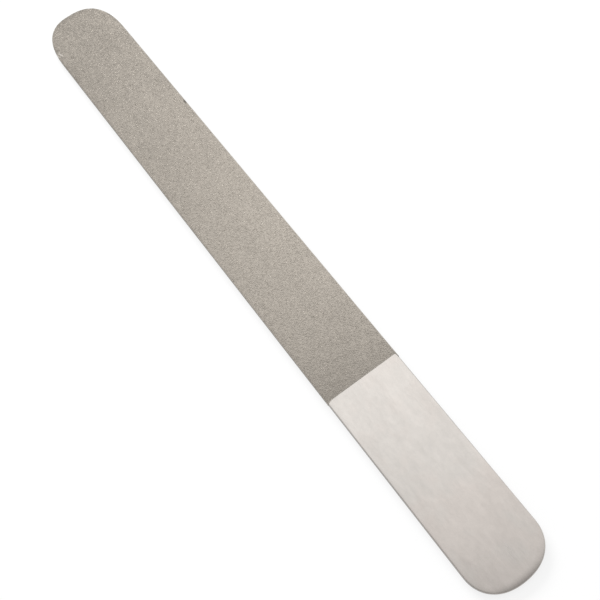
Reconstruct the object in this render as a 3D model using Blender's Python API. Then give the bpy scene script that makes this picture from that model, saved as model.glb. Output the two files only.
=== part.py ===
"""Nail file: a flat stainless-steel strip with a grit coat plated round its filing end.

Lengths are in metres. The strip lies flat, its long axis on X with the filing tip towards +X, its
coarse face up. The origin is under the middle of the file, on the plane that it rests on.
"""

import math

import bmesh
import bpy

MM = 0.001

# Stamped steel strip
STRIP_LENGTH = 190.5 * MM
STRIP_WIDTH = 20.0 * MM
STRIP_THICKNESS = 1.2 * MM
EDGE_RADIUS = 0.25 * MM

# Rounded ends: how far each one reaches back to the straight sides, and how square it is
TIP_DEPTH = 14.1 * MM
TIP_SQUARENESS = 2.55
HANDLE_END_DEPTH = 8.5 * MM
HANDLE_END_SQUARENESS = 2.22

# Bare handle, from its end to the coat's end line, and the line's curls at the strip's two edges:
# how far in each one starts, how far it reaches along the strip, and how late it turns
HANDLE_LENGTH = 55.7 * MM
LEFT_CURL_WIDTH = 1.7 * MM
LEFT_CURL_DEPTH = 0.45 * MM
LEFT_CURL_POWER = 2.0
RIGHT_CURL_WIDTH = 0.6 * MM
RIGHT_CURL_DEPTH = 1.1 * MM
RIGHT_CURL_POWER = 4.0

# Plated coat: the nickel bond and the layers of grains that it holds
CONTACT_GAP = 0.01 * MM
BOND_THICKNESS = 0.05 * MM
BOND_MARGIN = 0.15 * MM
COARSE_GRIT_THICKNESS = 0.14 * MM
FINE_GRIT_THICKNESS = 0.09 * MM

# How far each layer of grains reaches over the rounded edge, from the flat face
GRIT_WRAP_ANGLE = math.radians(60.0)

# Facets
END_FACETS = 16
EDGE_FACETS = 4
CURL_FACETS = 6

# Cutters run on by this much past what they cut
OVERRUN = 2.0 * MM

# Places that follow from the sizes
BOND_REACH = CONTACT_GAP + BOND_THICKNESS
GRIT_REACH = BOND_REACH + CONTACT_GAP
STRIP_CENTRE_X = -BOND_REACH / 2
STRIP_END_X = STRIP_CENTRE_X - STRIP_LENGTH / 2
COAT_LINE_X = STRIP_END_X + HANDLE_LENGTH
STRIP_MID_Z = FINE_GRIT_THICKNESS + GRIT_REACH + STRIP_THICKNESS / 2
EDGE_ARC_RADIUS = min(EDGE_RADIUS, STRIP_THICKNESS / 2)
EDGE_ARC_HEIGHT = STRIP_THICKNESS / 2 - EDGE_ARC_RADIUS


def clear_scene():
    for obj in list(bpy.data.objects):
        bpy.data.objects.remove(obj)


def metal(name, colour, metallic, roughness):
    material = bpy.data.materials.new(name)
    material.use_nodes = True
    shader = material.node_tree.nodes["Principled BSDF"]
    shader.inputs["Base Color"].default_value = (*colour, 1.0)
    shader.inputs["Metallic"].default_value = metallic
    shader.inputs["Roughness"].default_value = roughness
    return material


def end_quarter(depth, squareness):
    """A quarter of a rounded end, from the straight side to the nose, as points with outward normals."""
    half_width = STRIP_WIDTH / 2
    quarter = []
    for step in range(END_FACETS + 1):
        angle = math.pi / 2 * (1 - step / END_FACETS)
        along = abs(math.cos(angle)) ** (2 / squareness)
        across = abs(math.sin(angle)) ** (2 / squareness)
        slope_along = along ** (squareness - 1) / depth
        slope_across = across ** (squareness - 1) / half_width
        steepness = math.hypot(slope_along, slope_across)
        normal = (slope_along / steepness, slope_across / steepness)
        quarter.append(((depth * along, half_width * across), normal))
    return quarter


def strip_outline():
    """The strip's outline seen from above, as points with outward normals, once round."""
    half_length = STRIP_LENGTH / 2
    tip = end_quarter(TIP_DEPTH, TIP_SQUARENESS)
    handle = end_quarter(HANDLE_END_DEPTH, HANDLE_END_SQUARENESS)
    quarters = (
        (tip, 1, 1, TIP_DEPTH),
        (tip[-2::-1], 1, -1, TIP_DEPTH),
        (handle, -1, -1, HANDLE_END_DEPTH),
        (handle[-2::-1], -1, 1, HANDLE_END_DEPTH),
    )
    outline = []
    for quarter, ahead, left, depth in quarters:
        start = STRIP_CENTRE_X + ahead * (half_length - depth)
        for (along, across), (slope_x, slope_y) in quarter:
            point = (start + ahead * along, left * across)
            outline.append((point, (ahead * slope_x, left * slope_y)))
    return outline


def edge_point(face, angle, growth):
    """A point of the rounded edge: how far it stands out of the outline, and its height.

    The angle runs from the flat face, at zero, to the side. face is 1 above and -1 below.
    """
    radius = EDGE_ARC_RADIUS + growth
    out = radius * math.sin(angle) - EDGE_ARC_RADIUS
    height = EDGE_ARC_HEIGHT + radius * math.cos(angle)
    return out, STRIP_MID_Z + face * height


def arc_angles(last):
    return [last * step / EDGE_FACETS for step in range(EDGE_FACETS + 1)]


def plate_profile(growth):
    """The edge of the strip, grown on every side, from its lower face to its upper face."""
    angles = arc_angles(math.pi / 2)
    lower = [edge_point(-1, angle, growth) for angle in angles]
    upper = [edge_point(1, angle, growth) for angle in reversed(angles)]
    return lower + upper


def grit_profile(face, thickness):
    """The edge of a layer of grains, which thins out as it wraps over the rounded edge."""
    angles = arc_angles(GRIT_WRAP_ANGLE)
    inner = [edge_point(face, angle, GRIT_REACH) for angle in angles]
    outer = [
        edge_point(face, angle, GRIT_REACH + thickness * math.cos(angle))
        for angle in reversed(angles)
    ]
    return inner + outer


def link(name, bm, material):
    bmesh.ops.recalc_face_normals(bm, faces=bm.faces)
    mesh = bpy.data.meshes.new(name)
    bm.to_mesh(mesh)
    bm.free()
    if material:
        mesh.materials.append(material)
    obj = bpy.data.objects.new(name, mesh)
    bpy.context.scene.collection.objects.link(obj)
    return obj


def closed_stack(name, loops, material=None):
    """A closed solid through loops of points of one length, with the first and last loop filled."""
    bm = bmesh.new()
    rings = [[bm.verts.new(point) for point in loop] for loop in loops]
    for ring, after in zip(rings, rings[1:]):
        for i in range(len(ring)):
            j = (i + 1) % len(ring)
            bm.faces.new((ring[i], ring[j], after[j], after[i]))
    bm.faces.new(rings[0])
    bm.faces.new(rings[-1])
    return link(name, bm, material)


def swept_round(name, profile, material=None):
    """A profile taken once round the strip's outline."""
    outline = strip_outline()
    loops = [
        [(x + out * nx, y + out * ny, height) for (x, y), (nx, ny) in outline]
        for out, height in profile
    ]
    return closed_stack(name, loops, material)


def coat_line(setback):
    """The coat's end line across the strip, from its right edge to its left, curling at both."""
    half_width = STRIP_WIDTH / 2
    line = []
    for left, width, depth, power in (
        (-1, RIGHT_CURL_WIDTH, RIGHT_CURL_DEPTH, RIGHT_CURL_POWER),
        (1, LEFT_CURL_WIDTH, LEFT_CURL_DEPTH, LEFT_CURL_POWER),
    ):
        curl = []
        for step in range(CURL_FACETS + 1):
            share = step / CURL_FACETS
            across = half_width - width * (1 - share)
            along = COAT_LINE_X + setback - depth * share**power
            curl.append((along, left * across))
        last = curl[-1][0]
        curl.append((last, left * (half_width + OVERRUN)))
        line += curl if left > 0 else curl[::-1]
    return line


def coated_end(name, setback):
    """A cutter that holds everything on the tip's side of the coat's end line."""
    beyond = STRIP_CENTRE_X + STRIP_LENGTH / 2 + OVERRUN
    side = STRIP_WIDTH / 2 + OVERRUN
    outline = coat_line(setback) + [(beyond, side), (beyond, -side)]
    loops = [
        [(x, y, STRIP_MID_Z + face * (STRIP_THICKNESS + OVERRUN)) for x, y in outline]
        for face in (-1, 1)
    ]
    return as_cutter(closed_stack(name, loops))


def as_cutter(obj):
    obj.hide_render = True
    obj.display_type = "WIRE"
    return obj


def cut(obj, cutter, operation):
    modifier = obj.modifiers.new(f"{operation} {cutter.name}", "BOOLEAN")
    modifier.operation = operation
    modifier.solver = "EXACT"
    modifier.object = cutter


def build_steel_blank():
    steel = metal("satin_steel", (0.66, 0.64, 0.61), 1.0, 0.32)
    return swept_round("steel_blank", plate_profile(0.0), steel)


def build_bond_coat():
    """The nickel sleeve: the strip grown by the bond, cut to the coated end and hollowed for the steel."""
    nickel = metal("plated_nickel", (0.38, 0.36, 0.33), 1.0, 0.5)
    sleeve = swept_round("nickel_bond_coat", plate_profile(BOND_REACH), nickel)
    seat = as_cutter(swept_round("seat_cutter", plate_profile(CONTACT_GAP)))
    cut(sleeve, coated_end("bond_end_cutter", 0.0), "INTERSECT")
    cut(sleeve, seat, "DIFFERENCE")
    return sleeve


def build_grit_faces():
    coarse = metal("coarse_grit", (0.40, 0.37, 0.34), 0.6, 0.62)
    fine = metal("fine_grit", (0.36, 0.34, 0.32), 0.6, 0.58)
    end_cutter = coated_end("grit_end_cutter", BOND_MARGIN)
    for name, face, thickness, material in (
        ("coarse_grit_face", 1, COARSE_GRIT_THICKNESS, coarse),
        ("fine_grit_face", -1, FINE_GRIT_THICKNESS, fine),
    ):
        layer = swept_round(name, grit_profile(face, thickness), material)
        cut(layer, end_cutter, "INTERSECT")


def main():
    clear_scene()
    build_steel_blank()
    build_bond_coat()
    build_grit_faces()


main()
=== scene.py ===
"""The looks of a nail file: bare brushed steel, and grains held in nickel round its filing end.

Lengths are in metres. The file lies along X with its filing tip at +X and its coarse face up.
"""

import math

import bpy
import numpy as np
from mathutils import Matrix, Vector
from mathutils.geometry import delaunay_2d_cdt


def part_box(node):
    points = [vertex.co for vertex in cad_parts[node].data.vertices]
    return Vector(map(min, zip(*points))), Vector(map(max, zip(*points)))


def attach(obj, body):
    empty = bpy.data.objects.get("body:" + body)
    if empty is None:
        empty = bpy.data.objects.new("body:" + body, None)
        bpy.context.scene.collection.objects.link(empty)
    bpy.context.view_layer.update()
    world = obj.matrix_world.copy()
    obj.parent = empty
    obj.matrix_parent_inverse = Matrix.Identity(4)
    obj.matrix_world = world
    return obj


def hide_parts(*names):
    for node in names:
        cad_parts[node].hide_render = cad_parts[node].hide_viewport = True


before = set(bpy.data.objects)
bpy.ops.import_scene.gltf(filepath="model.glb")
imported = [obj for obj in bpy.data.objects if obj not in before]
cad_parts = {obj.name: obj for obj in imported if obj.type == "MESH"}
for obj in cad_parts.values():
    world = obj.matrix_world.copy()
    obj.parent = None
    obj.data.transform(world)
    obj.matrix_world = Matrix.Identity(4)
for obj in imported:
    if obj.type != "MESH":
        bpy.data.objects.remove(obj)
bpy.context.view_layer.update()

MM = 0.001

# The strip and its coat, as the frame has them
strip_low, strip_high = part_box("steel_blank")
_, sleeve_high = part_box("nickel_bond_coat")
_, coarse_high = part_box("coarse_grit_face")
fine_low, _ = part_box("fine_grit_face")
HALF_WIDTH = (strip_high.y - strip_low.y) / 2
TIP_X = strip_high.x
HANDLE_END_X = strip_low.x
STRIP_TOP = strip_high.z
STRIP_BOTTOM = strip_low.z
BOND_REACH = sleeve_high.z - strip_high.z
COARSE_TOP = coarse_high.z
FINE_BOTTOM = fine_low.z

# Shapes that a box doesn't tell: the rounded ends, the eased edges, the gap between two pieces,
# the coat's end line with its curl at each edge, how far past it the grains start, and how far
# round the eased edge they reach
TIP_DEPTH = 14.1 * MM
TIP_SQUARENESS = 2.55
HANDLE_END_DEPTH = 8.5 * MM
HANDLE_END_SQUARENESS = 2.22
EDGE_RADIUS = 0.25 * MM
CONTACT_GAP = 0.01 * MM
HANDLE_LENGTH = 55.7 * MM
LEFT_CURL_WIDTH = 1.7 * MM
LEFT_CURL_DEPTH = 0.45 * MM
LEFT_CURL_POWER = 2.0
RIGHT_CURL_WIDTH = 0.6 * MM
RIGHT_CURL_DEPTH = 1.1 * MM
RIGHT_CURL_POWER = 4.0
BOND_MARGIN = 0.15 * MM
GRIT_WRAP_ANGLE = math.radians(60.0)
COAT_LINE_X = HANDLE_END_X + HANDLE_LENGTH
GRIT_REACH = BOND_REACH + CONTACT_GAP

# Polish: how wide the flat face's roll-off towards the edge is, how steep it gets at the sides and
# at the handle's end, and how late on the way round to the end the one goes over into the other
ROLL_WIDTH = 2.0 * MM
SIDE_ROLL = math.radians(1.3)
END_ROLL = math.radians(11.5)
END_ROLL_POWER = 8.5

# Facets
END_STEPS = 48
SIDE_STEP = 2.0 * MM
ROLL_STEPS = 6
ARC_STEPS = 9
LINE_STEP = 0.2 * MM

# The search for the nearest place on the rounded tip: how many points stand in for each point of
# the outline, and how many places are looked up at once
SEARCH_DETAIL = 24
SEARCH_BATCH = 1000

# Points closer than this, in millimetres, are one point to the triangulation
MERGE_DISTANCE = 1e-6

# Grains: how far apart they stand, the seeds of their random places, how far in from its edge the
# coat's rim carries painted shade, and the tones, from 0 to 1, of the border and of what isn't a
# grain
COARSE_PITCH = 0.405 * MM
FINE_PITCH = 0.33 * MM
COARSE_SEED = 11
FINE_SEED = 12
RIM_WIDTH = 0.8 * MM
BORDER_TONE = 0.4
PLAIN_TONE = 0.5

# The relief's heights, least and most, as shares of the layer's thickness, and how much higher or
# lower than its grain a corner of a crown may be
GRAIN_HEIGHT_SHARES = (0.62, 0.94)
VALLEY_HEIGHT_SHARES = (0.35, 0.55)
EDGE_HEIGHT_SHARES = (0.1, 0.3)
LINE_HEIGHT_SHARES = (0.55, 0.85)
LEAST_HEIGHT_SHARE = 0.02
TILT_SHARE = 0.08

# The relief's places as shares of the grains' pitch: how far a grain is shaken off its grid, how
# far grains and other points stay inside the border, and how far out a crown's corners stand; and
# how many pitches apart the points of the smooth underside are
GRAIN_SHAKE_SHARE = 0.27
GRAIN_MARGIN_SHARE = 1 / 3
POINT_MARGIN_SHARE = 1 / 8
CROWN_REACH_SHARES = (0.17, 0.33)
UNDERSIDE_PITCHES = 4

# A crown's corners, and how far in radians each is turned off its even place
CROWN_CORNERS = 3
CROWN_TURN = 0.3

# How far the border's points are shaken, along it and, at the end line, across it, as shares of
# the step between them
BORDER_SHAKE_SHARE = 0.3
LINE_SHAKE_SHARE = 0.25

# The square layouts that a piece is baked in: rows of the coat, the space round each stretch, the
# width given to a wall, and the scales of the surfaces that another piece covers
MAP_ROWS = 3
MAP_GAP = 0.5 * MM
MAP_WALL = 0.1 * MM
COAT_COVERED_SHARE = 0.11
STRIP_COVERED_SHARE = 0.3

# Colours. Along the file the steel turns from its own colour to its stain between two places, and
# the nickel has a painted highlight at the coat's end line, over a width, which lifts the shade
# beside the grains' edge.
STEEL_COLOUR = (0.6255, 0.5915, 0.557, 1.0)
STEEL_STAIN = (0.640, 0.590, 0.552, 1.0)
STAIN_START = -63 * MM
STAIN_END = -77 * MM
NICKEL_COLOUR = (0.48, 0.445, 0.40)
NICKEL_LINE_LIGHT = 1.6
NICKEL_LINE_WIDTH = 0.8 * MM
COARSE_COLOUR = (0.4872, 0.4440, 0.3898)
FINE_COLOUR = (0.478, 0.440, 0.391)
WORN_GLINT_COLOUR = (0.86, 0.82, 0.76, 1.0)

# The strip's side is darker than its polished faces, partly for its sheared, unpolished finish and
# partly as painted shade for the floor's shadow that it reflects: the slope of its edge where that
# starts and where it is full, and the tone of the steel and of the nickel there
SHEAR_AND_SHADE_START = math.radians(38.0)
SHEAR_AND_SHADE_END = math.radians(58.0)
STEEL_SHEAR_AND_SHADE_TONE = 0.46
NICKEL_SHEAR_AND_SHADE_TONE = 0.58

# How the coat's tone changes, as shares of its colour: along the file, by place, darker at the end
# line and with painted light and shade beyond it, deepest towards the tip, and across it, from its
# right edge to its left, with painted light that makes its right side lighter, where more light
# falls
ALONG_TONE_AND_SHADE = (
    (COAT_LINE_X, 0.79), (-28 * MM, 0.93), (-14 * MM, 1.0), (5 * MM, 1.015), (25 * MM, 0.985),
    (58 * MM, 0.957), (77 * MM, 0.914), (93 * MM, 0.915), (TIP_X, 0.67),
)
ACROSS_PAINTED_LIGHT = (1.062, 0.95)

# How uneven the coat is along the file, grain by grain, in clumps and in its finest mottle, as
# places and powers of each
GRAIN_POWER = (
    (COAT_LINE_X, 0.6), (-20 * MM, 0.38), (10 * MM, 0.46), (40 * MM, 1.22), (75 * MM, 1.88),
    (TIP_X, 2.7),
)
CLUMP_POWER = ((COAT_LINE_X, 0.9), (-15 * MM, 0.8), (20 * MM, 0.7), (45 * MM, 0.9), (TIP_X, 1.3))
MOTTLE_POWER = ((COAT_LINE_X, 0.3), (25 * MM, 0.3), (75 * MM, 2.0), (TIP_X, 2.6))

# Nearly all of a noise lies between these levels
NOISE_LEVELS = (0.25, 0.75)

# The steel's patterns: the scale of each along the strip and across it, per metre, and its noise
STEEL_CLOUDS = dict(along=90.0, across=280.0, detail=4.0, roughness=0.7)
STEEL_STREAKS = dict(along=420.0, across=760.0, detail=2.0, roughness=0.5)
STEEL_MOTTLE = dict(along=900.0, across=1200.0, detail=3.0, roughness=0.7)
STEEL_BRUSH = dict(along=90.0, across=1600.0, detail=4.0, roughness=0.6)
STEEL_MARKS = dict(along=240.0, across=2200.0, detail=1.0, roughness=0.5)
STEEL_STAINS = dict(along=90.0, across=120.0, detail=1.0, roughness=0.5)
STEEL_HUES = dict(along=240.0, across=280.0, detail=1.0, roughness=0.5)

# What they do to the steel, from low to high noise: its tone as shares of its colour, its turn
# towards the stain and its roughness. The marks show only above one level of their noise.
STEEL_CLOUD_TONES = (0.947, 1.053)
STEEL_STREAK_TONES = (0.974, 1.022)
STEEL_MOTTLE_TONES = (0.97, 1.03)
STEEL_BRUSH_TONES = (0.988, 1.012)
STEEL_MARK_TONES = (1.0, 0.975)
STEEL_MARK_LEVELS = (0.6, 0.75)
STEEL_STAIN_TURNS = (-0.25, 0.25)
STEEL_HUE_TURNS = (-0.45, 0.45)
STEEL_CLOUD_ROUGHNESS = (0.27, 0.23)
STEEL_BRUSH_ROUGHNESS = (-0.02, 0.02)
STEEL_BUMP = {"Strength": 0.06, "Distance": 0.01 * MM}

# The nickel's patterns and what they do to it
NICKEL_PITS = dict(along=9000.0, across=9000.0, detail=3.0, roughness=0.6)
NICKEL_CLOUDS = dict(along=500.0, across=500.0, detail=2.0, roughness=0.5)
NICKEL_PIT_TONES = (0.85, 1.1)
NICKEL_CLOUD_TONES = (0.92, 1.06)
NICKEL_PIT_ROUGHNESS = (0.42, 0.58)
NICKEL_BUMP = {"Strength": 0.5, "Distance": 0.02 * MM}

# The coat's patterns, the tones that they and each grain's own tone and height give it, and its
# roughness, which follows each grain's tone
COAT_CLUMPS = dict(along=600.0, across=700.0, detail=2.0, roughness=0.6)
COAT_CLOUDS = dict(along=60.0, across=120.0, detail=4.0, roughness=0.7)
COAT_MOTTLE = dict(along=1700.0, across=1700.0, detail=1.0, roughness=0.5)
COAT_SPECKS = dict(along=12000.0, across=12000.0, detail=2.0, roughness=0.5)
COAT_RIM_SHADE_PATCHES = dict(along=260.0, across=500.0, detail=3.0, roughness=0.7)
COAT_GLINT_FLECKS = dict(along=2500.0, across=2500.0, detail=1.0, roughness=0.5)
COAT_GRAIN_TONES = (0.90, 1.10)
COAT_HEIGHT_TONES = (0.93, 1.03)
COAT_HEIGHT_LEVELS = (0.4, 0.9)
COAT_CLUMP_TONES = (0.93, 1.07)
COAT_CLOUD_TONES = (0.935, 1.065)
COAT_MOTTLE_TONES = (0.97, 1.03)
COAT_SPECK_TONES = (0.95, 1.05)
COAT_GRAIN_ROUGHNESS = (0.355, 0.515)
COAT_METALLIC = 0.75
COAT_BUMP = {"Strength": 0.4, "Distance": 0.015 * MM}

# Wear and painted light: where the coat is rubbed bright, with a painted glint on its bright
# flecks, a nick in its edge, painted dark for the shade in it, and a smudge on the steel, each with
# its place, how far it reaches along the file and across it, and how much it darkens. The first two
# have their full strength out to a share of their reach.
WORN_GLINT_PLACE = (84.75 * MM, 9.3 * MM)
WORN_GLINT_REACH = (1.25 * MM, 0.95 * MM)
NICK_PLACE = (50.0 * MM, -9.7 * MM)
NICK_REACH = (1.05 * MM, 0.46 * MM)
NICK_SHADE = 0.68
SMUDGE_PLACE = (-93.5 * MM, 9.5 * MM)
SMUDGE_REACH = (11.0 * MM, 7.0 * MM)
SMUDGE_DARK = 0.11
SPOT_FULL_SHARE = 0.35

# How much painted shade darkens the coat's rim, where it turns away from the light, and the levels
# of noise at which that shade and the bright flecks of the painted glint show
RIM_SHADE = 0.24
RIM_SHADE_LEVELS = (0.45, 0.75)
GLINT_FLECK_LEVELS = (0.48, 0.58)

# Camera, from the photograph's ground plane and the strip's outline
CAMERA_PLACE = Vector((-87.08, 38.42, 193.51)) * MM
CAMERA_HEADING = math.radians(-28.23)
CAMERA_PITCH = math.radians(67.005)
CAMERA_ROLL = math.radians(-8.665)
CAMERA_LENS = 52.254
CAMERA_SENSOR = 36.0
CAMERA_CLIP_START = 0.01
CAMERA_CLIP_END = 20.0

# Light: the room's level by the angle in degrees from the middle of its bright panel, the share of
# it that is left by how far a direction points, from -1 to 1, into the room's dim side, the angle
# above the horizon up to which the room is white all round and the one from which it has those
# levels, and a softbox
BRIGHT_HEADING = math.radians(-34.5)
BRIGHT_ELEVATION = math.radians(60.0)
ROOM_GRADE = (
    (0, 1.435), (9, 1.435), (14.5, 1.28), (20, 1.185), (28, 0.83), (45, 0.78), (62, 0.88),
    (80, 1.0), (180, 1.0),
)
DIM_HEADING = math.radians(151.0)
DIM_GRADE = (
    (-1.0, 1.0), (-0.2, 1.0), (-0.05, 0.93), (0.1, 0.68), (0.25, 0.44), (0.5, 0.36), (1.0, 0.51),
)
HORIZON_START = math.radians(20.0)
HORIZON_END = math.radians(27.0)
SOFTBOX_HEADING = math.radians(-6.0)
SOFTBOX_ELEVATION = math.radians(20.0)
SOFTBOX_DISTANCE = 1.0
SOFTBOX_WIDTH = 0.7
SOFTBOX_HEIGHT = 0.28
SOFTBOX_POWER = 16.0

# Floor: its half width and its own colour, and what is seen of it, which is a white glow with
# softened shadows that fades to plain white between two distances
FLOOR_REACH = 3.0
FLOOR_COLOUR = 0.9
FLOOR_SHOWN = 0.2
FLOOR_GLOW = 0.776
FLOOR_FADE_START = 0.3
FLOOR_FADE_END = 0.8


def end_quarter(depth, squareness):
    """A quarter of a rounded end, from the straight side to its nose: points and normals."""
    angle = np.linspace(math.pi / 2, 0.0, END_STEPS + 1)
    along = np.abs(np.cos(angle)) ** (2 / squareness)
    along[0] = 0.0
    across = np.abs(np.sin(angle)) ** (2 / squareness)
    across[-1] = 0.0
    steep = squareness - 1
    slope = np.column_stack((along**steep / depth, across**steep / HALF_WIDTH))
    slope /= np.linalg.norm(slope, axis=1)[:, None]
    return np.column_stack((depth * along, HALF_WIDTH * across)), slope


def half_outline():
    """The strip's left half, from the handle's nose to the tip's: points and outward normals."""
    tip, tip_slope = end_quarter(TIP_DEPTH, TIP_SQUARENESS)
    end, end_slope = end_quarter(HANDLE_END_DEPTH, HANDLE_END_SQUARENESS)
    tip[:, 0] += TIP_X - TIP_DEPTH
    end[:, 0] = HANDLE_END_X + HANDLE_END_DEPTH - end[:, 0]
    end_slope[:, 0] *= -1
    count = int((tip[0, 0] - end[0, 0]) / SIDE_STEP)
    side_x = np.linspace(end[0, 0], tip[0, 0], count + 1)[1:-1]
    side = np.column_stack((side_x, np.full(len(side_x), HALF_WIDTH)))
    side_slope = np.tile((0.0, 1.0), (len(side), 1))
    points = np.vstack((end[::-1], side, tip))
    slopes = np.vstack((end_slope[::-1], side_slope, tip_slope))
    return points, slopes


def whole_outline():
    """Once round the strip, from the handle's nose along its right side and back along its left."""
    points, slopes = half_outline()
    mirror = np.array((1.0, -1.0))
    back = slice(-2, 0, -1)
    return np.vstack((points * mirror, points[back])), np.vstack((slopes * mirror, slopes[back]))


def edge_section(roll):
    """The strip's upper edge, from the flat face outwards, where it rolls off by a given angle.

    The slope of the roll-off grows with the square of the way across it. The eased edge follows.
    The rows are the inset from the outline, the drop below the flat face and the slope's angle.
    """
    join = EDGE_RADIUS * (1 - math.sin(roll))
    share = np.linspace(0.0, 1.0, ROLL_STEPS + 1)
    steepest = math.tan(roll)
    roll_drop = steepest * (ROLL_WIDTH - join) / 3
    inset = ROLL_WIDTH + (join - ROLL_WIDTH) * share
    drop = roll_drop * share**3
    angle = np.arctan(steepest * share**2)
    turn = np.linspace(roll, math.pi / 2, ARC_STEPS + 1)[1:]
    middle = roll_drop + EDGE_RADIUS * math.cos(roll)
    return np.array((
        np.append(inset, EDGE_RADIUS * (1 - np.sin(turn))),
        np.append(drop, middle - EDGE_RADIUS * np.cos(turn)),
        np.append(angle, turn),
    ))


def grown_section(growth, roll=SIDE_ROLL):
    """The same edge, grown outwards, with the way along it from the flat face as a fourth row."""
    inset, drop, angle = edge_section(roll)
    inset = inset - growth * np.sin(angle)
    drop = drop - growth * np.cos(angle)
    step = np.hypot(np.diff(inset), np.diff(drop))
    return np.array((inset, drop, angle, np.append(0.0, np.cumsum(step))))


def coat_line(y):
    """Where the coat ends, for a place across the strip: straight, with a curl at each edge."""
    width = np.where(y > 0, LEFT_CURL_WIDTH, RIGHT_CURL_WIDTH)
    depth = np.where(y > 0, LEFT_CURL_DEPTH, RIGHT_CURL_DEPTH)
    power = np.where(y > 0, LEFT_CURL_POWER, RIGHT_CURL_POWER)
    share = np.clip((np.abs(y) - (HALF_WIDTH - width)) / width, 0.0, 1.0)
    return COAT_LINE_X - depth * share**power


def add_piece(name, points, faces, material, smooth, node):
    """A mesh piece that rides on the file's one body and stands for a node of the frame."""
    mesh = bpy.data.meshes.new(name)
    mesh.from_pydata(points.tolist(), [], faces)
    mesh.polygons.foreach_set("use_smooth", np.full(len(mesh.polygons), smooth))
    mesh.materials.append(material)
    mesh.validate()
    mesh.update()
    piece = bpy.data.objects.new(name, mesh)
    bpy.context.scene.collection.objects.link(piece)
    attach(piece, "root")
    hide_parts(node)
    return piece


def sections_round(growth, slopes):
    """The section of the edge all round: four rows, and a column for each point of the outline."""
    turned = np.maximum(0.0, -slopes[:, 0]) ** END_ROLL_POWER
    rolls = SIDE_ROLL + (END_ROLL - SIDE_ROLL) * turned
    return np.array([grown_section(growth, roll) for roll in rolls]).transpose(1, 2, 0)


def ring_points(growth, points, slopes):
    """Loops of points round the strip, from its lower face to its upper face, grown outwards."""
    inset, drop, _, _ = sections_round(growth, slopes)
    plan = points - slopes * inset[..., None]
    lower = np.dstack((plan, STRIP_BOTTOM + drop))
    upper = np.dstack((plan, STRIP_TOP - drop))
    return np.concatenate((lower, upper[::-1]))


def build_strip(material):
    """The steel strip: loops round its edge, and each flat face in two, bare and covered."""
    points, slopes = whole_outline()
    loops = ring_points(0.0, points, slopes)
    rows, columns, _ = loops.shape
    index = np.arange(rows * columns).reshape(rows, columns)
    faces = []
    for here, above in zip(index, index[1:]):
        faces += np.column_stack((here, np.roll(here, -1), np.roll(above, -1), above)).tolist()
    split = int(np.argmax(points[:, 0] > COAT_LINE_X))
    handle = np.r_[: split + 1, columns - split : columns]
    covered = np.arange(split, columns - split + 1)
    for part in (handle, covered):
        faces.append(index[0, part[::-1]].tolist())
        faces.append(index[-1, part].tolist())
    spots = loops.reshape(-1, 3)
    strip = add_piece("steel_strip", spots, faces, material, True, "steel_blank")
    lay_out_strip(strip.data, points, slopes, points[split, 0])


def coated_outline():
    """The outline of the coated end alone, from its right end to its left, open at the end line."""
    points, slopes = whole_outline()
    kept = points[:, 0] > COAT_LINE_X + SIDE_STEP
    ends = np.array(((COAT_LINE_X, -HALF_WIDTH), (COAT_LINE_X, HALF_WIDTH)))
    end_slopes = np.array(((0.0, -1.0), (0.0, 1.0)))
    return (
        np.vstack((ends[:1], points[kept], ends[1:])),
        np.vstack((end_slopes[:1], slopes[kept], end_slopes[1:])),
    )


def sleeve_skin(growth):
    """One skin of the sleeve: its loops, then the points of its end line across each flat face."""
    points, slopes = coated_outline()
    loops = ring_points(growth, points, slopes)
    for column in (0, -1):
        loops[:, column, 0] = coat_line(loops[:, column, 1])
    flat = HALF_WIDTH - ROLL_WIDTH
    across = np.linspace(flat, -flat, int(2 * flat / SIDE_STEP) + 1)[1:-1]
    lines = []
    for height in (loops[0, 0, 2], loops[-1, 0, 2]):
        lines.append(np.column_stack((coat_line(across), across, np.full(len(across), height))))
    return loops, lines


def build_sleeve(material):
    """The nickel between steel and grains: an outer and an inner skin, joined at the end line."""
    points, faces, rims = [], [], []
    count = 0
    for growth, outward in ((BOND_REACH, True), (CONTACT_GAP, False)):
        loops, lines = sleeve_skin(growth)
        rows, columns, _ = loops.shape
        index = np.arange(rows * columns).reshape(rows, columns) + count
        count += rows * columns
        points.append(loops.reshape(-1, 3))
        ends = []
        for line in lines:
            ends.append(np.arange(len(line)) + count)
            count += len(line)
            points.append(line)
        skin = []
        for here, above in zip(index, index[1:]):
            skin += np.column_stack((here[:-1], here[1:], above[1:], above[:-1])).tolist()
        skin.append(index[0, ::-1].tolist() + ends[0][::-1].tolist())
        skin.append(index[-1].tolist() + ends[1].tolist())
        faces += skin if outward else [face[::-1] for face in skin]
        rims.append(np.concatenate((index[:, 0], ends[1][::-1], index[::-1, -1], ends[0])))
    outer, inner = rims
    faces += np.column_stack((outer, np.roll(outer, -1), np.roll(inner, -1), inner)).tolist()
    points = np.vstack(points)
    add_piece("nickel_sleeve", points, faces, material, True, "nickel_bond_coat")


def face_corners(mesh):
    """The vertex of each face corner, and the face that the corner is on."""
    vertex = np.empty(len(mesh.loops), dtype=np.int32)
    mesh.loops.foreach_get("vertex_index", vertex)
    count = np.empty(len(mesh.polygons), dtype=np.int32)
    mesh.polygons.foreach_get("loop_total", count)
    return vertex, np.repeat(np.arange(len(count)), count)


def face_mean(face, values):
    """For each face corner, the mean of a value over the corners of its face."""
    return (np.bincount(face, values) / np.bincount(face))[face]


def add_bake_map(mesh, along, across):
    """The layout that a piece's materials are baked in, from places in metres, none below zero."""
    side = max(along.max(), across.max()) + MAP_GAP
    spots = np.column_stack((along, across)) / side
    layer = mesh.uv_layers.new(name="OFBake")
    layer.data.foreach_set("uv", spots.astype(np.float32).ravel())


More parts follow.
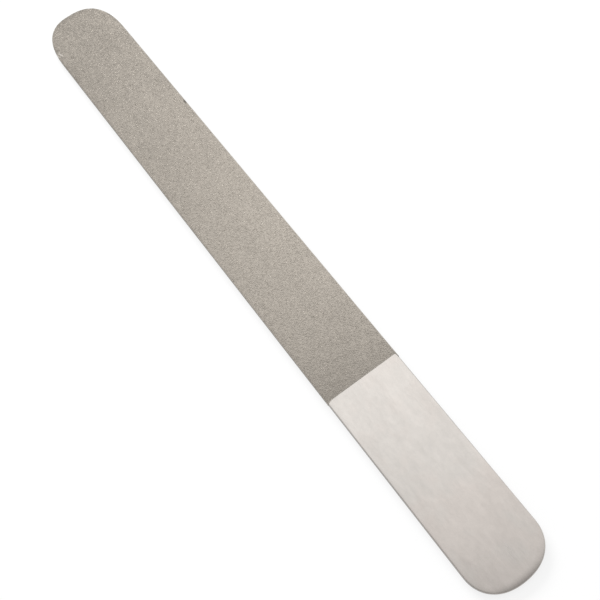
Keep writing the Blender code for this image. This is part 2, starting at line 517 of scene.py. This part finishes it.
def lay_out_strip(mesh, points, slopes, split):
    """The steel unrolled: both faces of the handle, and small beside them what the coat covers."""
    _, drop, _, way = sections_round(0.0, slopes)
    wall = way[-1] + STRIP_TOP - STRIP_BOTTOM - 2 * drop[-1]
    upper_way = np.vstack((wall, way[::-1]))
    rows = len(way)
    vertex, face = face_corners(mesh)
    row, column = np.divmod(vertex, len(points))
    upper = face_mean(face, row >= rows - 1) == 1.0
    covered = face_mean(face, points[column, 0]) > split
    upper_out = upper_way[np.maximum(row - rows + 1, 0), column]
    lower_out = way[np.minimum(row, rows - 1), column]
    out = np.where(upper, upper_out, lower_out)
    place = points[column] + slopes[column] * (out - ROLL_WIDTH)[:, None]
    size = 2 * (HALF_WIDTH + wall.max() - ROLL_WIDTH)
    share = np.where(covered, STRIP_COVERED_SHARE, 1.0)
    start = np.where(covered, split, place[:, 0].min())
    below = np.where(upper, 0.0, size * share + MAP_GAP)
    level = np.where(covered, 2 * (size + MAP_GAP), 0.0) + below
    along = MAP_GAP + (place[:, 0] - start) * share
    across = MAP_GAP + level + (place[:, 1] + size / 2) * share
    add_bake_map(mesh, along, across)


def lay_out_coat(mesh, flat, slope, tops):
    """The coat unrolled: its outer skin in rows, and small beside them its hidden skin."""
    vertex, face = face_corners(mesh)
    low = vertex >= tops
    hidden = face_mean(face, low) == 1.0
    wall = low & ~hidden
    on_line = flat[:, 0] < coat_line(flat[:, 1]) + BOND_MARGIN + LINE_STEP / 2
    away = np.where(on_line[:, None], (-1.0, 0.0), slope)
    place = flat[vertex] + away[vertex] * np.where(wall, MAP_WALL, 0.0)[:, None]
    start = flat[:, 0].min() - MAP_WALL
    length = (flat[:, 0].max() + MAP_WALL - start) / MAP_ROWS
    size = 2 * (np.abs(flat[:, 1]).max() + MAP_WALL)
    row = np.floor((face_mean(face, place[:, 0]) - start) / length)
    along = MAP_GAP + place[:, 0] - start - row * length
    across = MAP_GAP + place[:, 1] + size / 2 + row * (size + MAP_GAP)
    beside = 3 * MAP_GAP + length + (place[:, 0] - start) * COAT_COVERED_SHARE
    below = MAP_GAP + (place[:, 1] + size / 2) * COAT_COVERED_SHARE
    add_bake_map(mesh, np.where(hidden, beside, along), np.where(hidden, below, across))


def dense_tip():
    """The outline round the tip with many more points, and the normals there."""
    points, slopes = whole_outline()
    near = points[:, 0] > TIP_X - TIP_DEPTH - SIDE_STEP
    whole = np.arange(np.count_nonzero(near))
    fine = np.linspace(0, whole[-1], SEARCH_DETAIL * len(whole))
    place, slope = (
        np.column_stack([np.interp(fine, whole, values) for values in rows[near].T])
        for rows in (points, slopes)
    )
    return place, slope / np.linalg.norm(slope, axis=1)[:, None]


def shaken(random, most, count):
    """Random amounts up to the most, either way."""
    return random.uniform(-most, most, count)


def shaken_steps(random, start, end):
    """Places from start to end, a line step apart, all shaken but the first and the last."""
    count = int(abs(end - start) / LINE_STEP)
    places = np.linspace(start, end, count + 1)
    places[1:-1] += shaken(random, BORDER_SHAKE_SHARE, count - 1) * LINE_STEP
    return places


class GritSheet:
    """A layer of grains laid out flat: a plane that is then wrapped over the strip's edge."""

    def __init__(self, face, level, thickness):
        self.face = face
        self.level = level
        self.thickness = thickness
        self.section = grown_section(GRIT_REACH)
        self.reach = float(np.interp(GRIT_WRAP_ANGLE, self.section[2], self.section[3]))
        self.tip, self.tip_slope = dense_tip()

    def way_out(self, flat):
        """How far each point is past the flat face, with the outline's point and normal there."""
        side = np.sign(flat[:, 1])
        place = np.column_stack((flat[:, 0], side * HALF_WIDTH))
        slope = np.column_stack((np.zeros(len(flat)), side))
        bent = np.flatnonzero(flat[:, 0] > TIP_X - TIP_DEPTH)
        for first in range(0, len(bent), SEARCH_BATCH):
            some = bent[first : first + SEARCH_BATCH]
            gap = ((flat[some, None] - self.tip[None]) ** 2).sum(axis=2)
            best = gap.argmin(axis=1)
            place[some] = self.tip[best]
            slope[some] = self.tip_slope[best]
        out = ROLL_WIDTH + ((flat - place) * slope).sum(axis=1)
        return out, place, slope

    def wrap(self, flat, height):
        """Points of the sheet on the strip, raised by their shares of the layer's thickness."""
        out, place, slope = self.way_out(flat)
        inset, drop, angle = [np.interp(out, self.section[3], row) for row in self.section[:3]]
        rise = height * self.thickness * np.cos(angle)
        band = out > 0
        plan = np.where(band[:, None], place - slope * inset[:, None], flat)
        plan = plan + slope * (rise * np.sin(angle))[:, None]
        up = np.where(band, -drop, GRIT_REACH) + rise * np.cos(angle)
        return np.column_stack((plan, self.level + self.face * up))

    def border(self, random):
        """Once round the sheet, right edge first and end line last, with the heights there."""
        points, slopes = coated_outline()
        edge = points + slopes * (self.reach - ROLL_WIDTH)
        step = np.linalg.norm(np.diff(edge, axis=0), axis=1)
        way = np.append(0.0, np.cumsum(step))
        along = shaken_steps(random, 0.0, way[-1])
        rim = np.column_stack([np.interp(along, way, values) for values in edge.T])
        across = shaken_steps(random, rim[-1, 1], -rim[-1, 1])
        line = np.column_stack((coat_line(across) + BOND_MARGIN, across))
        line[:, 0] += shaken(random, LINE_SHAKE_SHARE, len(line)) * LINE_STEP
        rim = rim[rim[:, 0] > max(line[0, 0], line[-1, 0])]
        low = random.uniform(*EDGE_HEIGHT_SHARES, len(rim))
        high = random.uniform(*LINE_HEIGHT_SHARES, len(line))
        return np.vstack((rim, line)), np.concatenate((low, high))

    def holds(self, flat, margin):
        """Which points lie on the sheet, at least the margin away from its border."""
        out, _, _ = self.way_out(flat)
        start = coat_line(flat[:, 1]) + BOND_MARGIN
        return (out < self.reach - margin) & (flat[:, 0] > start + margin)

    def scatter(self, pitch, margin, shake, random):
        """Points over the sheet on a triangular grid, shaken by a share of its pitch."""
        row = pitch * math.sqrt(3) / 2
        half = HALF_WIDTH + GRIT_REACH
        xs = np.arange(COAT_LINE_X, TIP_X + pitch, pitch)
        ys = np.arange(-half, half + row, row)
        grid = np.array([(x + pitch / 2 * (i % 2), y) for i, y in enumerate(ys) for x in xs])
        grid += shaken(random, shake, grid.shape) * pitch
        return grid[self.holds(grid, margin)]


def triangulate(points, border):
    """Triangles over the points within the border, which is the first points in order."""
    spots = [Vector(point) for point in (points / MM).tolist()]
    loop = list(range(border))
    only_inside = 1
    _, _, faces, origins, _, _ = delaunay_2d_cdt(spots, [], [loop], only_inside, MERGE_DISTANCE)
    whence = np.array([origin[0] for origin in origins])
    return whence[np.array([face for face in faces if len(face) == 3])]


def crown_tops(sheet, seeds, height, tone, pitch, random):
    """Raised corners round the middle of each grain, on a tilt, with their heights and tones."""
    turn = random.uniform(0.0, 2 * math.pi, len(seeds))
    tilt = shaken(random, TILT_SHARE, (len(seeds), CROWN_CORNERS))
    corners, heights = [], []
    for i in range(CROWN_CORNERS):
        angle = turn + i * 2 * math.pi / CROWN_CORNERS + shaken(random, CROWN_TURN, len(seeds))
        radius = pitch * random.uniform(*CROWN_REACH_SHARES, len(seeds))
        corners.append(seeds + np.column_stack((np.cos(angle), np.sin(angle))) * radius[:, None])
        heights.append(height + tilt[:, i])
    tops = np.vstack(corners)
    kept = sheet.holds(tops, pitch * POINT_MARGIN_SHARE)
    return tops[kept], np.concatenate(heights)[kept], np.tile(tone, CROWN_CORNERS)[kept]


def lay_out_relief(sheet, pitch, crowned, random):
    """A layer's relief laid flat: its border, then all its points with their heights and tones."""
    border, edge_height = sheet.border(random)
    seeds = sheet.scatter(pitch, pitch * GRAIN_MARGIN_SHARE, GRAIN_SHAKE_SHARE, random)
    flat = np.vstack((border, seeds))
    valleys = flat[triangulate(flat, len(border))].mean(axis=1)
    valleys = valleys[sheet.holds(valleys, pitch * POINT_MARGIN_SHARE)]
    tops = seeds
    height = random.uniform(*GRAIN_HEIGHT_SHARES, len(seeds))
    tone = random.uniform(0.0, 1.0, len(seeds))
    if crowned:
        tops, height, tone = crown_tops(sheet, seeds, height, tone, pitch, random)
    low = random.uniform(*VALLEY_HEIGHT_SHARES, len(valleys))
    heights = np.clip(np.concatenate((edge_height, height, low)), LEAST_HEIGHT_SHARE, 1.0)
    border_tone = np.full(len(border), BORDER_TONE)
    valley_tone = np.full(len(valleys), PLAIN_TONE)
    tones = np.concatenate((border_tone, tone, valley_tone))
    return border, np.vstack((border, tops, valleys)), heights, tones


def build_grit(name, node, material, sheet, pitch, crowned, seed):
    """A layer of grains: angular tops, valleys between them, and a smooth underside."""
    random = np.random.default_rng(seed)
    border, over, heights, tones = lay_out_relief(sheet, pitch, crowned, random)
    inner = sheet.scatter(pitch * UNDERSIDE_PITCHES, pitch, 0.0, random)
    under = np.vstack((border, inner))
    points = np.vstack((sheet.wrap(over, heights), sheet.wrap(under, np.zeros(len(under)))))

    first = len(over)
    ring = np.arange(len(border))
    after = np.roll(ring, -1)
    upper = triangulate(over, len(border))
    lower = triangulate(under, len(border))[:, ::-1] + first
    wall = np.column_stack((ring, ring + first, after + first, after))
    faces = upper.tolist() + lower.tolist() + wall.tolist()
    if sheet.face < 0:
        faces = [corners[::-1] for corners in faces]
    mesh = add_piece(name, points, faces, material, False, node).data

    flat = np.vstack((over, under))
    out, _, slope = sheet.way_out(flat)
    lay_out_coat(mesh, flat, slope, first)
    tones = np.append(tones, np.full(len(under), PLAIN_TONE))
    heights = np.append(heights, np.zeros(len(under)))
    rims = np.clip(1 - (sheet.reach - out) / RIM_WIDTH, 0.0, 1.0)
    for attribute, values in (("grain_tone", tones), ("grain_height", heights), ("coat_rim", rims)):
        mesh.attributes.new(attribute, "FLOAT", "POINT").data.foreach_set("value", values)


def new_material(name):
    """A material, with its node tree and its shader."""
    material = bpy.data.materials.new(name)
    material.use_nodes = True
    tree = material.node_tree
    return material, tree, tree.nodes["Principled BSDF"]


def add_node(tree, kind, inputs=None, **settings):
    """A node with its settings, its inputs joined to sockets or set to values."""
    made = tree.nodes.new(kind)
    for key, value in settings.items():
        setattr(made, key, value)
    for key, value in (inputs or {}).items():
        if isinstance(value, bpy.types.NodeSocket):
            tree.links.new(value, made.inputs[key])
        else:
            made.inputs[key].default_value = value
    return made


def object_place(tree, stretch=(1.0, 1.0, 1.0)):
    """The place on the object in metres, each axis multiplied by its own stretch."""
    place = add_node(tree, "ShaderNodeTexCoord").outputs["Object"]
    return add_node(
        tree, "ShaderNodeVectorMath", {0: place, 1: stretch}, operation="MULTIPLY"
    ).outputs["Vector"]


def pattern(tree, along, across, detail, roughness):
    """Noise over the object, with one scale along the file and one across it."""
    place = object_place(tree, (along, across, across))
    inputs = {"Vector": place, "Scale": 1.0, "Detail": detail, "Roughness": roughness}
    return add_node(tree, "ShaderNodeTexNoise", inputs).outputs["Fac"]


def spread(tree, value, results, levels=NOISE_LEVELS):
    """A value taken from between two levels to between two results, and held there."""
    inputs = {
        "Value": value, "From Min": levels[0], "From Max": levels[1],
        "To Min": results[0], "To Max": results[1],
    }
    return add_node(tree, "ShaderNodeMapRange", inputs).outputs["Result"]


def graded(tree, value, stops):
    """A level that follows a value through stops, each a place and the level there."""
    first, last = stops[0][0], stops[-1][0]
    share = spread(tree, value, (0.0, 1.0), (first, last))
    ramp = add_node(tree, "ShaderNodeValToRGB", {"Fac": share})
    marks = ramp.color_ramp.elements
    for place, _ in stops[1:-1]:
        marks.new((place - first) / (last - first))
    for mark, (_, level) in zip(marks, stops):
        mark.color = (level, level, level, 1.0)
    return ramp.outputs["Color"]


def maths(tree, operation, a, b=0.0):
    return add_node(tree, "ShaderNodeMath", {0: a, 1: b}, operation=operation).outputs["Value"]


def product(tree, *factors):
    total = factors[0]
    for factor in factors[1:]:
        total = maths(tree, "MULTIPLY", total, factor)
    return total


def darkening(tree, mask, dark):
    """A factor that is 1 outside a mask and lower by the darkness given where the mask is 1."""
    return maths(tree, "SUBTRACT", 1.0, maths(tree, "MULTIPLY", mask, dark))


def tint(tree, colour, factor):
    """A colour, brightened or darkened by a factor."""
    return add_node(
        tree, "ShaderNodeVectorMath", {0: colour, "Scale": factor}, operation="SCALE"
    ).outputs["Vector"]


def blend(tree, factor, a, b):
    """A colour that goes from a to b as the factor goes from 0 to 1."""
    inputs = {0: factor, 6: a, 7: b}
    return add_node(tree, "ShaderNodeMix", inputs, data_type="RGBA").outputs[2]


def spot(tree, place, reach, full=SPOT_FULL_SHARE):
    """A mask round a place on the upper face: 1 out to a share of its reach, 0 from there on."""
    inputs = {0: object_place(tree), 1: (*place, STRIP_TOP)}
    away = add_node(tree, "ShaderNodeVectorMath", inputs, operation="SUBTRACT").outputs["Vector"]
    inputs = {0: away, 1: (1 / reach[0], 1 / reach[1], 1 / reach[1])}
    scaled = add_node(tree, "ShaderNodeVectorMath", inputs, operation="MULTIPLY").outputs["Vector"]
    length = add_node(tree, "ShaderNodeVectorMath", {0: scaled}, operation="LENGTH")
    return spread(tree, length.outputs["Value"], (1.0, 0.0), (full, 1.0))


def place_on(tree, axis):
    """The place on the object along one axis, in metres."""
    return add_node(tree, "ShaderNodeSeparateXYZ", {0: object_place(tree)}).outputs[axis]


def shear_and_shade_tone(tree, tone):
    """A tone for the strip's side, sheared and painted with shade, which goes over into 1 on its
    polished faces.
    """
    normal = add_node(tree, "ShaderNodeTexCoord").outputs["Normal"]
    up = add_node(tree, "ShaderNodeSeparateXYZ", {0: normal}).outputs["Z"]
    levels = (math.cos(SHEAR_AND_SHADE_END), math.cos(SHEAR_AND_SHADE_START))
    return spread(tree, maths(tree, "ABSOLUTE", up), (tone, 1.0), levels)


def dress(tree, shader, colour, roughness, metallic, relief, bump):
    """Gives a shader its colour, its roughness, how metallic it is and the bump of a pattern."""
    normal = add_node(tree, "ShaderNodeBump", {"Height": relief, **bump}).outputs["Normal"]
    tree.links.new(colour, shader.inputs["Base Color"])
    tree.links.new(roughness, shader.inputs["Roughness"])
    tree.links.new(normal, shader.inputs["Normal"])
    shader.inputs["Metallic"].default_value = metallic


def steel_material():
    """Bare stainless steel: brushed along the strip, with faint clouds and darker brush marks."""
    material, tree, shader = new_material("brushed_steel")
    clouds = pattern(tree, **STEEL_CLOUDS)
    brush = pattern(tree, **STEEL_BRUSH)
    turn = spread(tree, place_on(tree, "X"), (1.0, 0.0), (STAIN_END, STAIN_START))
    turn = maths(tree, "ADD", turn, spread(tree, pattern(tree, **STEEL_STAINS), STEEL_STAIN_TURNS))
    turn = maths(tree, "ADD", turn, spread(tree, pattern(tree, **STEEL_HUES), STEEL_HUE_TURNS))
    factor = product(
        tree,
        spread(tree, clouds, STEEL_CLOUD_TONES),
        spread(tree, brush, STEEL_BRUSH_TONES),
        spread(tree, pattern(tree, **STEEL_MOTTLE), STEEL_MOTTLE_TONES),
        spread(tree, pattern(tree, **STEEL_MARKS), STEEL_MARK_TONES, STEEL_MARK_LEVELS),
        spread(tree, pattern(tree, **STEEL_STREAKS), STEEL_STREAK_TONES),
        darkening(tree, spot(tree, SMUDGE_PLACE, SMUDGE_REACH, 0.0), SMUDGE_DARK),
        # painted shade on the side, for the floor's shadow that it reflects, and its sheared finish
        shear_and_shade_tone(tree, STEEL_SHEAR_AND_SHADE_TONE),
    )
    colour = tint(tree, blend(tree, turn, STEEL_COLOUR, STEEL_STAIN), factor)
    roughness = maths(
        tree, "ADD",
        spread(tree, clouds, STEEL_CLOUD_ROUGHNESS), spread(tree, brush, STEEL_BRUSH_ROUGHNESS),
    )
    dress(tree, shader, colour, roughness, 1.0, brush, STEEL_BUMP)
    return material


def nickel_material():
    """Dull plated nickel, finely pitted, and lighter along its end line by a painted highlight."""
    material, tree, shader = new_material("plated_nickel")
    pits = pattern(tree, **NICKEL_PITS)
    line = (COAT_LINE_X, COAT_LINE_X + NICKEL_LINE_WIDTH)
    factor = product(
        tree,
        spread(tree, pits, NICKEL_PIT_TONES),
        spread(tree, pattern(tree, **NICKEL_CLOUDS), NICKEL_CLOUD_TONES),
        # painted highlight along the end line, which lifts the shade beside the grains' edge
        spread(tree, place_on(tree, "X"), (NICKEL_LINE_LIGHT, 1.0), line),
        # painted shade on the side, for the floor's shadow that it reflects, and its sheared finish
        shear_and_shade_tone(tree, NICKEL_SHEAR_AND_SHADE_TONE),
    )
    colour = tint(tree, NICKEL_COLOUR, factor)
    dress(tree, shader, colour, spread(tree, pits, NICKEL_PIT_ROUGHNESS), 1.0, pits, NICKEL_BUMP)
    return material


def grit_material(name, colour, wear_and_painted_light):
    """Grains plated over with nickel: each its own tone, darker in the valleys between them."""
    material, tree, shader = new_material(name)
    tone, height, rim = (
        add_node(tree, "ShaderNodeAttribute", attribute_name=attribute).outputs["Fac"]
        for attribute in ("grain_tone", "grain_height", "coat_rim")
    )
    specks = pattern(tree, **COAT_SPECKS)
    along = place_on(tree, "X")
    grain = product(
        tree,
        spread(tree, tone, COAT_GRAIN_TONES, (0.0, 1.0)),
        spread(tree, height, COAT_HEIGHT_TONES, COAT_HEIGHT_LEVELS),
        spread(tree, specks, COAT_SPECK_TONES),
    )
    clump = product(
        tree,
        spread(tree, pattern(tree, **COAT_CLUMPS), COAT_CLUMP_TONES),
        spread(tree, pattern(tree, **COAT_CLOUDS), COAT_CLOUD_TONES),
    )
    mottle = spread(tree, pattern(tree, **COAT_MOTTLE), COAT_MOTTLE_TONES)
    # painted shade along the coat's rim, in patches, where its edge turns away from the light
    dark = spread(tree, pattern(tree, **COAT_RIM_SHADE_PATCHES), (0.0, RIM_SHADE), RIM_SHADE_LEVELS)
    factor = product(
        tree,
        maths(tree, "POWER", grain, graded(tree, along, GRAIN_POWER)),
        maths(tree, "POWER", clump, graded(tree, along, CLUMP_POWER)),
        maths(tree, "POWER", mottle, graded(tree, along, MOTTLE_POWER)),
        # darker at the end line, and painted light and shade along the file, deepest towards the
        # tip
        graded(tree, along, ALONG_TONE_AND_SHADE),
        # painted light: the right side lighter, where more light falls
        spread(tree, place_on(tree, "Y"), ACROSS_PAINTED_LIGHT, (-HALF_WIDTH, HALF_WIDTH)),
        darkening(tree, rim, dark),
    )
    finish = tint(tree, colour, factor)
    # a nick painted dark for the shade in it, and the rubbed patch with a painted glint
    if wear_and_painted_light:
        nick = spot(tree, NICK_PLACE, NICK_REACH)
        flecks = spread(tree, pattern(tree, **COAT_GLINT_FLECKS), (0.0, 1.0), GLINT_FLECK_LEVELS)
        rubbed_glint = maths(tree, "MULTIPLY", spot(tree, WORN_GLINT_PLACE, WORN_GLINT_REACH), flecks)
        # the nick's painted shade
        finish = tint(tree, finish, darkening(tree, nick, NICK_SHADE))
        finish = blend(tree, rubbed_glint, finish, WORN_GLINT_COLOUR)
    roughness = spread(tree, tone, COAT_GRAIN_ROUGHNESS, (0.0, 1.0))
    dress(tree, shader, finish, roughness, COAT_METALLIC, specks, COAT_BUMP)
    return material


def build_camera():
    """The photograph's camera: its place, the way it looks, and its small turn about that."""
    heading = Vector((math.cos(CAMERA_HEADING), math.sin(CAMERA_HEADING), 0.0))
    right = Vector((heading.y, -heading.x, 0.0))
    ahead = heading * math.cos(CAMERA_PITCH) - Vector((0.0, 0.0, math.sin(CAMERA_PITCH)))
    up = heading * math.sin(CAMERA_PITCH) + Vector((0.0, 0.0, math.cos(CAMERA_PITCH)))
    turned_right = right * math.cos(CAMERA_ROLL) + up * math.sin(CAMERA_ROLL)
    turned_up = up * math.cos(CAMERA_ROLL) - right * math.sin(CAMERA_ROLL)
    turn = Matrix((turned_right, turned_up, -ahead)).transposed()
    data = bpy.data.cameras.new("camera")
    data.lens = CAMERA_LENS
    data.sensor_width = CAMERA_SENSOR
    data.clip_start = CAMERA_CLIP_START
    data.clip_end = CAMERA_CLIP_END
    camera = bpy.data.objects.new("camera", data)
    camera.matrix_world = Matrix.Translation(CAMERA_PLACE) @ turn.to_4x4()
    bpy.context.scene.collection.objects.link(camera)
    bpy.context.scene.camera = camera


def seen_rays(tree):
    """1 for the rays by which a thing is seen, in metal and glass too, and 0 for falling light."""
    path = add_node(tree, "ShaderNodeLightPath")
    seen = maths(tree, "MAXIMUM", path.outputs["Is Camera Ray"], path.outputs["Is Glossy Ray"])
    return maths(tree, "MAXIMUM", seen, path.outputs["Is Transmission Ray"])


def build_floor():
    """A wide pale floor. What the camera and reflections see of it is lifted to white."""
    mesh = bpy.data.meshes.new("floor")
    signs = ((-1, -1), (1, -1), (1, 1), (-1, 1))
    corners = [(x * FLOOR_REACH, y * FLOOR_REACH, 0.0) for x, y in signs]
    mesh.from_pydata(corners, [], [(0, 1, 2, 3)])
    material = bpy.data.materials.new("pale_floor")
    material.use_nodes = True
    tree = material.node_tree
    tree.nodes.clear()
    own = add_node(tree, "ShaderNodeBsdfDiffuse", {"Color": (FLOOR_COLOUR,) * 3 + (1.0,)})
    shown = add_node(tree, "ShaderNodeBsdfDiffuse", {"Color": (FLOOR_SHOWN,) * 3 + (1.0,)})
    glow = add_node(tree, "ShaderNodeEmission", {"Strength": FLOOR_GLOW})
    near = add_node(tree, "ShaderNodeAddShader", {0: shown.outputs[0], 1: glow.outputs[0]})
    away = add_node(tree, "ShaderNodeVectorMath", {0: object_place(tree)}, operation="LENGTH")
    fade = spread(tree, away.outputs["Value"], (0.0, 1.0), (FLOOR_FADE_START, FLOOR_FADE_END))
    white = add_node(tree, "ShaderNodeEmission")
    inputs = {0: fade, 1: near.outputs[0], 2: white.outputs[0]}
    seen = add_node(tree, "ShaderNodeMixShader", inputs)
    inputs = {0: seen_rays(tree), 1: own.outputs[0], 2: seen.outputs[0]}
    both = add_node(tree, "ShaderNodeMixShader", inputs)
    add_node(tree, "ShaderNodeOutputMaterial", {"Surface": both.outputs[0]})
    mesh.materials.append(material)
    floor = bpy.data.objects.new("floor", mesh)
    bpy.context.scene.collection.objects.link(floor)


def direction(heading, elevation):
    return Vector((
        math.cos(elevation) * math.cos(heading),
        math.cos(elevation) * math.sin(heading),
        math.sin(elevation),
    ))


def build_room():
    """A plain room, bright above the tip, dim beyond the handle and white round the horizon."""
    world = bpy.data.worlds.new("room")
    world.use_nodes = True
    tree = world.node_tree
    tree.nodes.clear()
    ray = add_node(tree, "ShaderNodeTexCoord").outputs["Generated"]
    bright, dim = (
        add_node(tree, "ShaderNodeVectorMath", {0: ray, 1: way}, operation="DOT_PRODUCT")
        for way in (direction(BRIGHT_HEADING, BRIGHT_ELEVATION), direction(DIM_HEADING, 0.0))
    )
    angle = maths(tree, "DEGREES", maths(tree, "ARCCOSINE", bright.outputs["Value"]))
    left = graded(tree, dim.outputs["Value"], DIM_GRADE)
    grade = tint(tree, graded(tree, angle, ROOM_GRADE), left)
    up = add_node(tree, "ShaderNodeSeparateXYZ", {0: ray}).outputs["Z"]
    above = spread(tree, up, (0.0, 1.0), (math.sin(HORIZON_START), math.sin(HORIZON_END)))
    light = blend(tree, above, (1.0, 1.0, 1.0, 1.0), grade)
    room = add_node(tree, "ShaderNodeBackground", {"Color": light})
    add_node(tree, "ShaderNodeOutputWorld", {"Surface": room.outputs[0]})
    bpy.context.scene.world = world


def build_softbox():
    """One low, wide softbox beyond the tip, which draws the soft shadow at the handle's end."""
    way = direction(SOFTBOX_HEADING, SOFTBOX_ELEVATION)
    data = bpy.data.lights.new("softbox", "AREA")
    data.shape = "RECTANGLE"
    data.size = SOFTBOX_WIDTH
    data.size_y = SOFTBOX_HEIGHT
    data.energy = SOFTBOX_POWER
    lamp = bpy.data.objects.new("softbox", data)
    lamp.location = way * SOFTBOX_DISTANCE
    lamp.rotation_euler = way.to_track_quat("Z", "Y").to_euler()
    lamp.visible_camera = False
    lamp.visible_glossy = False
    bpy.context.scene.collection.objects.link(lamp)


def set_view():
    bpy.context.scene.view_settings.view_transform = "Standard"


build_camera()
build_room()
build_softbox()
build_floor()
build_strip(steel_material())
build_sleeve(nickel_material())
build_grit(
    "coarse_grains", "coarse_grit_face",
    grit_material("coarse_grains", COARSE_COLOUR, wear_and_painted_light=True),
    GritSheet(1, STRIP_TOP, COARSE_TOP - STRIP_TOP - GRIT_REACH),
    COARSE_PITCH, crowned=True, seed=COARSE_SEED,
)
build_grit(
    "fine_grains", "fine_grit_face",
    grit_material("fine_grains", FINE_COLOUR, wear_and_painted_light=False),
    GritSheet(-1, STRIP_BOTTOM, STRIP_BOTTOM - FINE_BOTTOM - GRIT_REACH),
    FINE_PITCH, crowned=False, seed=FINE_SEED,
)
set_view()
